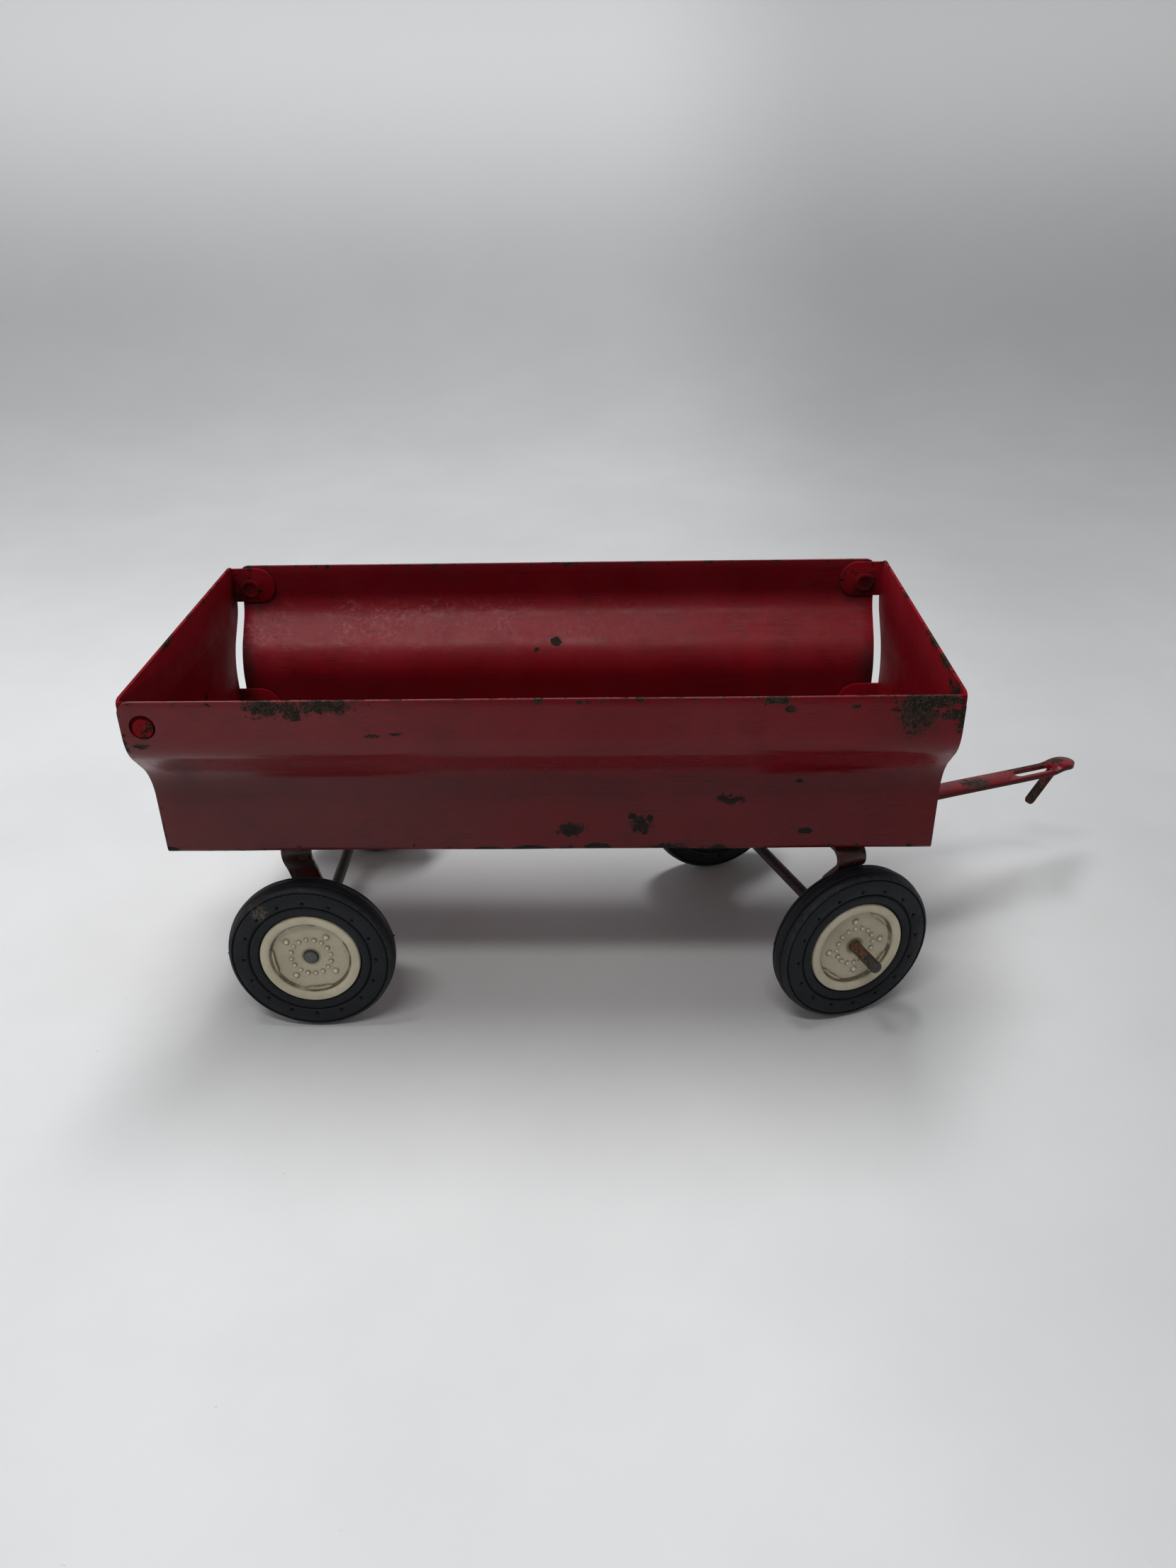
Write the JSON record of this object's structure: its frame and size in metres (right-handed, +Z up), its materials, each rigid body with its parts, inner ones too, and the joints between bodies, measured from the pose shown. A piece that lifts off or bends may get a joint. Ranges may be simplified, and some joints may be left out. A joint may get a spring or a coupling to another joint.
{
  "type": "toy farm wagon",
  "caption": "Pressed-steel toy farm wagon: flared open box, turning front bolster with slotted pull tongue and hook, and rubber-tyred wheels on through rods.",
  "frame": {"origin": "centre of the bounding box on the ground, with the front bolster turned as it stands at rest", "axes": "+X along the box towards the tongue, +Y to the wagon's left side, +Z up"},
  "size_m": [0.2592, 0.1048, 0.0987],
  "materials": {
    "red_enamel": "glossy dark red enamel, worn, with rust chips along the edges",
    "red_enamel_dull": "thin dark red enamel, dirty and rusty",
    "dark_steel": "dull, lightly rusted steel with traces of red paint",
    "cream_hub": "aged cream, satin, with brown dirt in the recesses",
    "tyre_rubber": "dry matt black rubber with dust"
  },
  "bodies": {
    "wagon_box": {"box_body": "red_enamel", "front_end_panel": "red_enamel", "rear_end_panel": "red_enamel", "rear_bolster": "red_enamel_dull", "rear_bolster_rivet_left": "dark_steel", "rear_bolster_rivet_right": "dark_steel", "king_pin": "dark_steel", "rear_axle_rod": "dark_steel"},
    "front_bolster_and_tongue": {"swivel_washer": "dark_steel", "front_bolster": "red_enamel_dull", "tongue": "red_enamel_dull", "tongue_rivet_left": "dark_steel", "tongue_rivet_right": "dark_steel", "front_axle_rod": "dark_steel"},
    "rear_right_wheel": {"rear_right_hub": "cream_hub", "rear_right_tyre": "tyre_rubber"},
    "rear_left_wheel": {"rear_left_hub": "cream_hub", "rear_left_tyre": "tyre_rubber"},
    "front_right_wheel": {"front_right_hub": "cream_hub", "front_right_tyre": "tyre_rubber"},
    "front_left_wheel": {"front_left_hub": "cream_hub", "front_left_tyre": "tyre_rubber"}
  },
  "joints": [
    {"name": "front_bolster_swivel", "type": "hinge", "parent": "wagon_box", "child": "front_bolster_and_tongue", "pos_m": [0.03476, -0.00078, 0.0494], "axis": [0, 0, 1], "continuous": true},
    {"name": "rear_right_wheel_spin", "type": "hinge", "parent": "wagon_box", "child": "rear_right_wheel", "pos_m": [-0.09291, -0.04718, 0.02223], "axis": [0, 1, 0], "continuous": true},
    {"name": "rear_left_wheel_spin", "type": "hinge", "parent": "wagon_box", "child": "rear_left_wheel", "pos_m": [-0.09291, 0.05221, 0.02223], "axis": [0, 1, 0], "continuous": true},
    {"name": "front_right_wheel_spin", "type": "hinge", "parent": "front_bolster_and_tongue", "child": "front_right_wheel", "pos_m": [0.05151, -0.04309, 0.02223], "axis": [-0.3681, 0.9298, 0], "continuous": true},
    {"name": "front_left_wheel_spin", "type": "hinge", "parent": "front_bolster_and_tongue", "child": "front_left_wheel", "pos_m": [0.01797, 0.04161, 0.02223], "axis": [-0.3681, 0.9298, 0], "continuous": true}
  ]
}
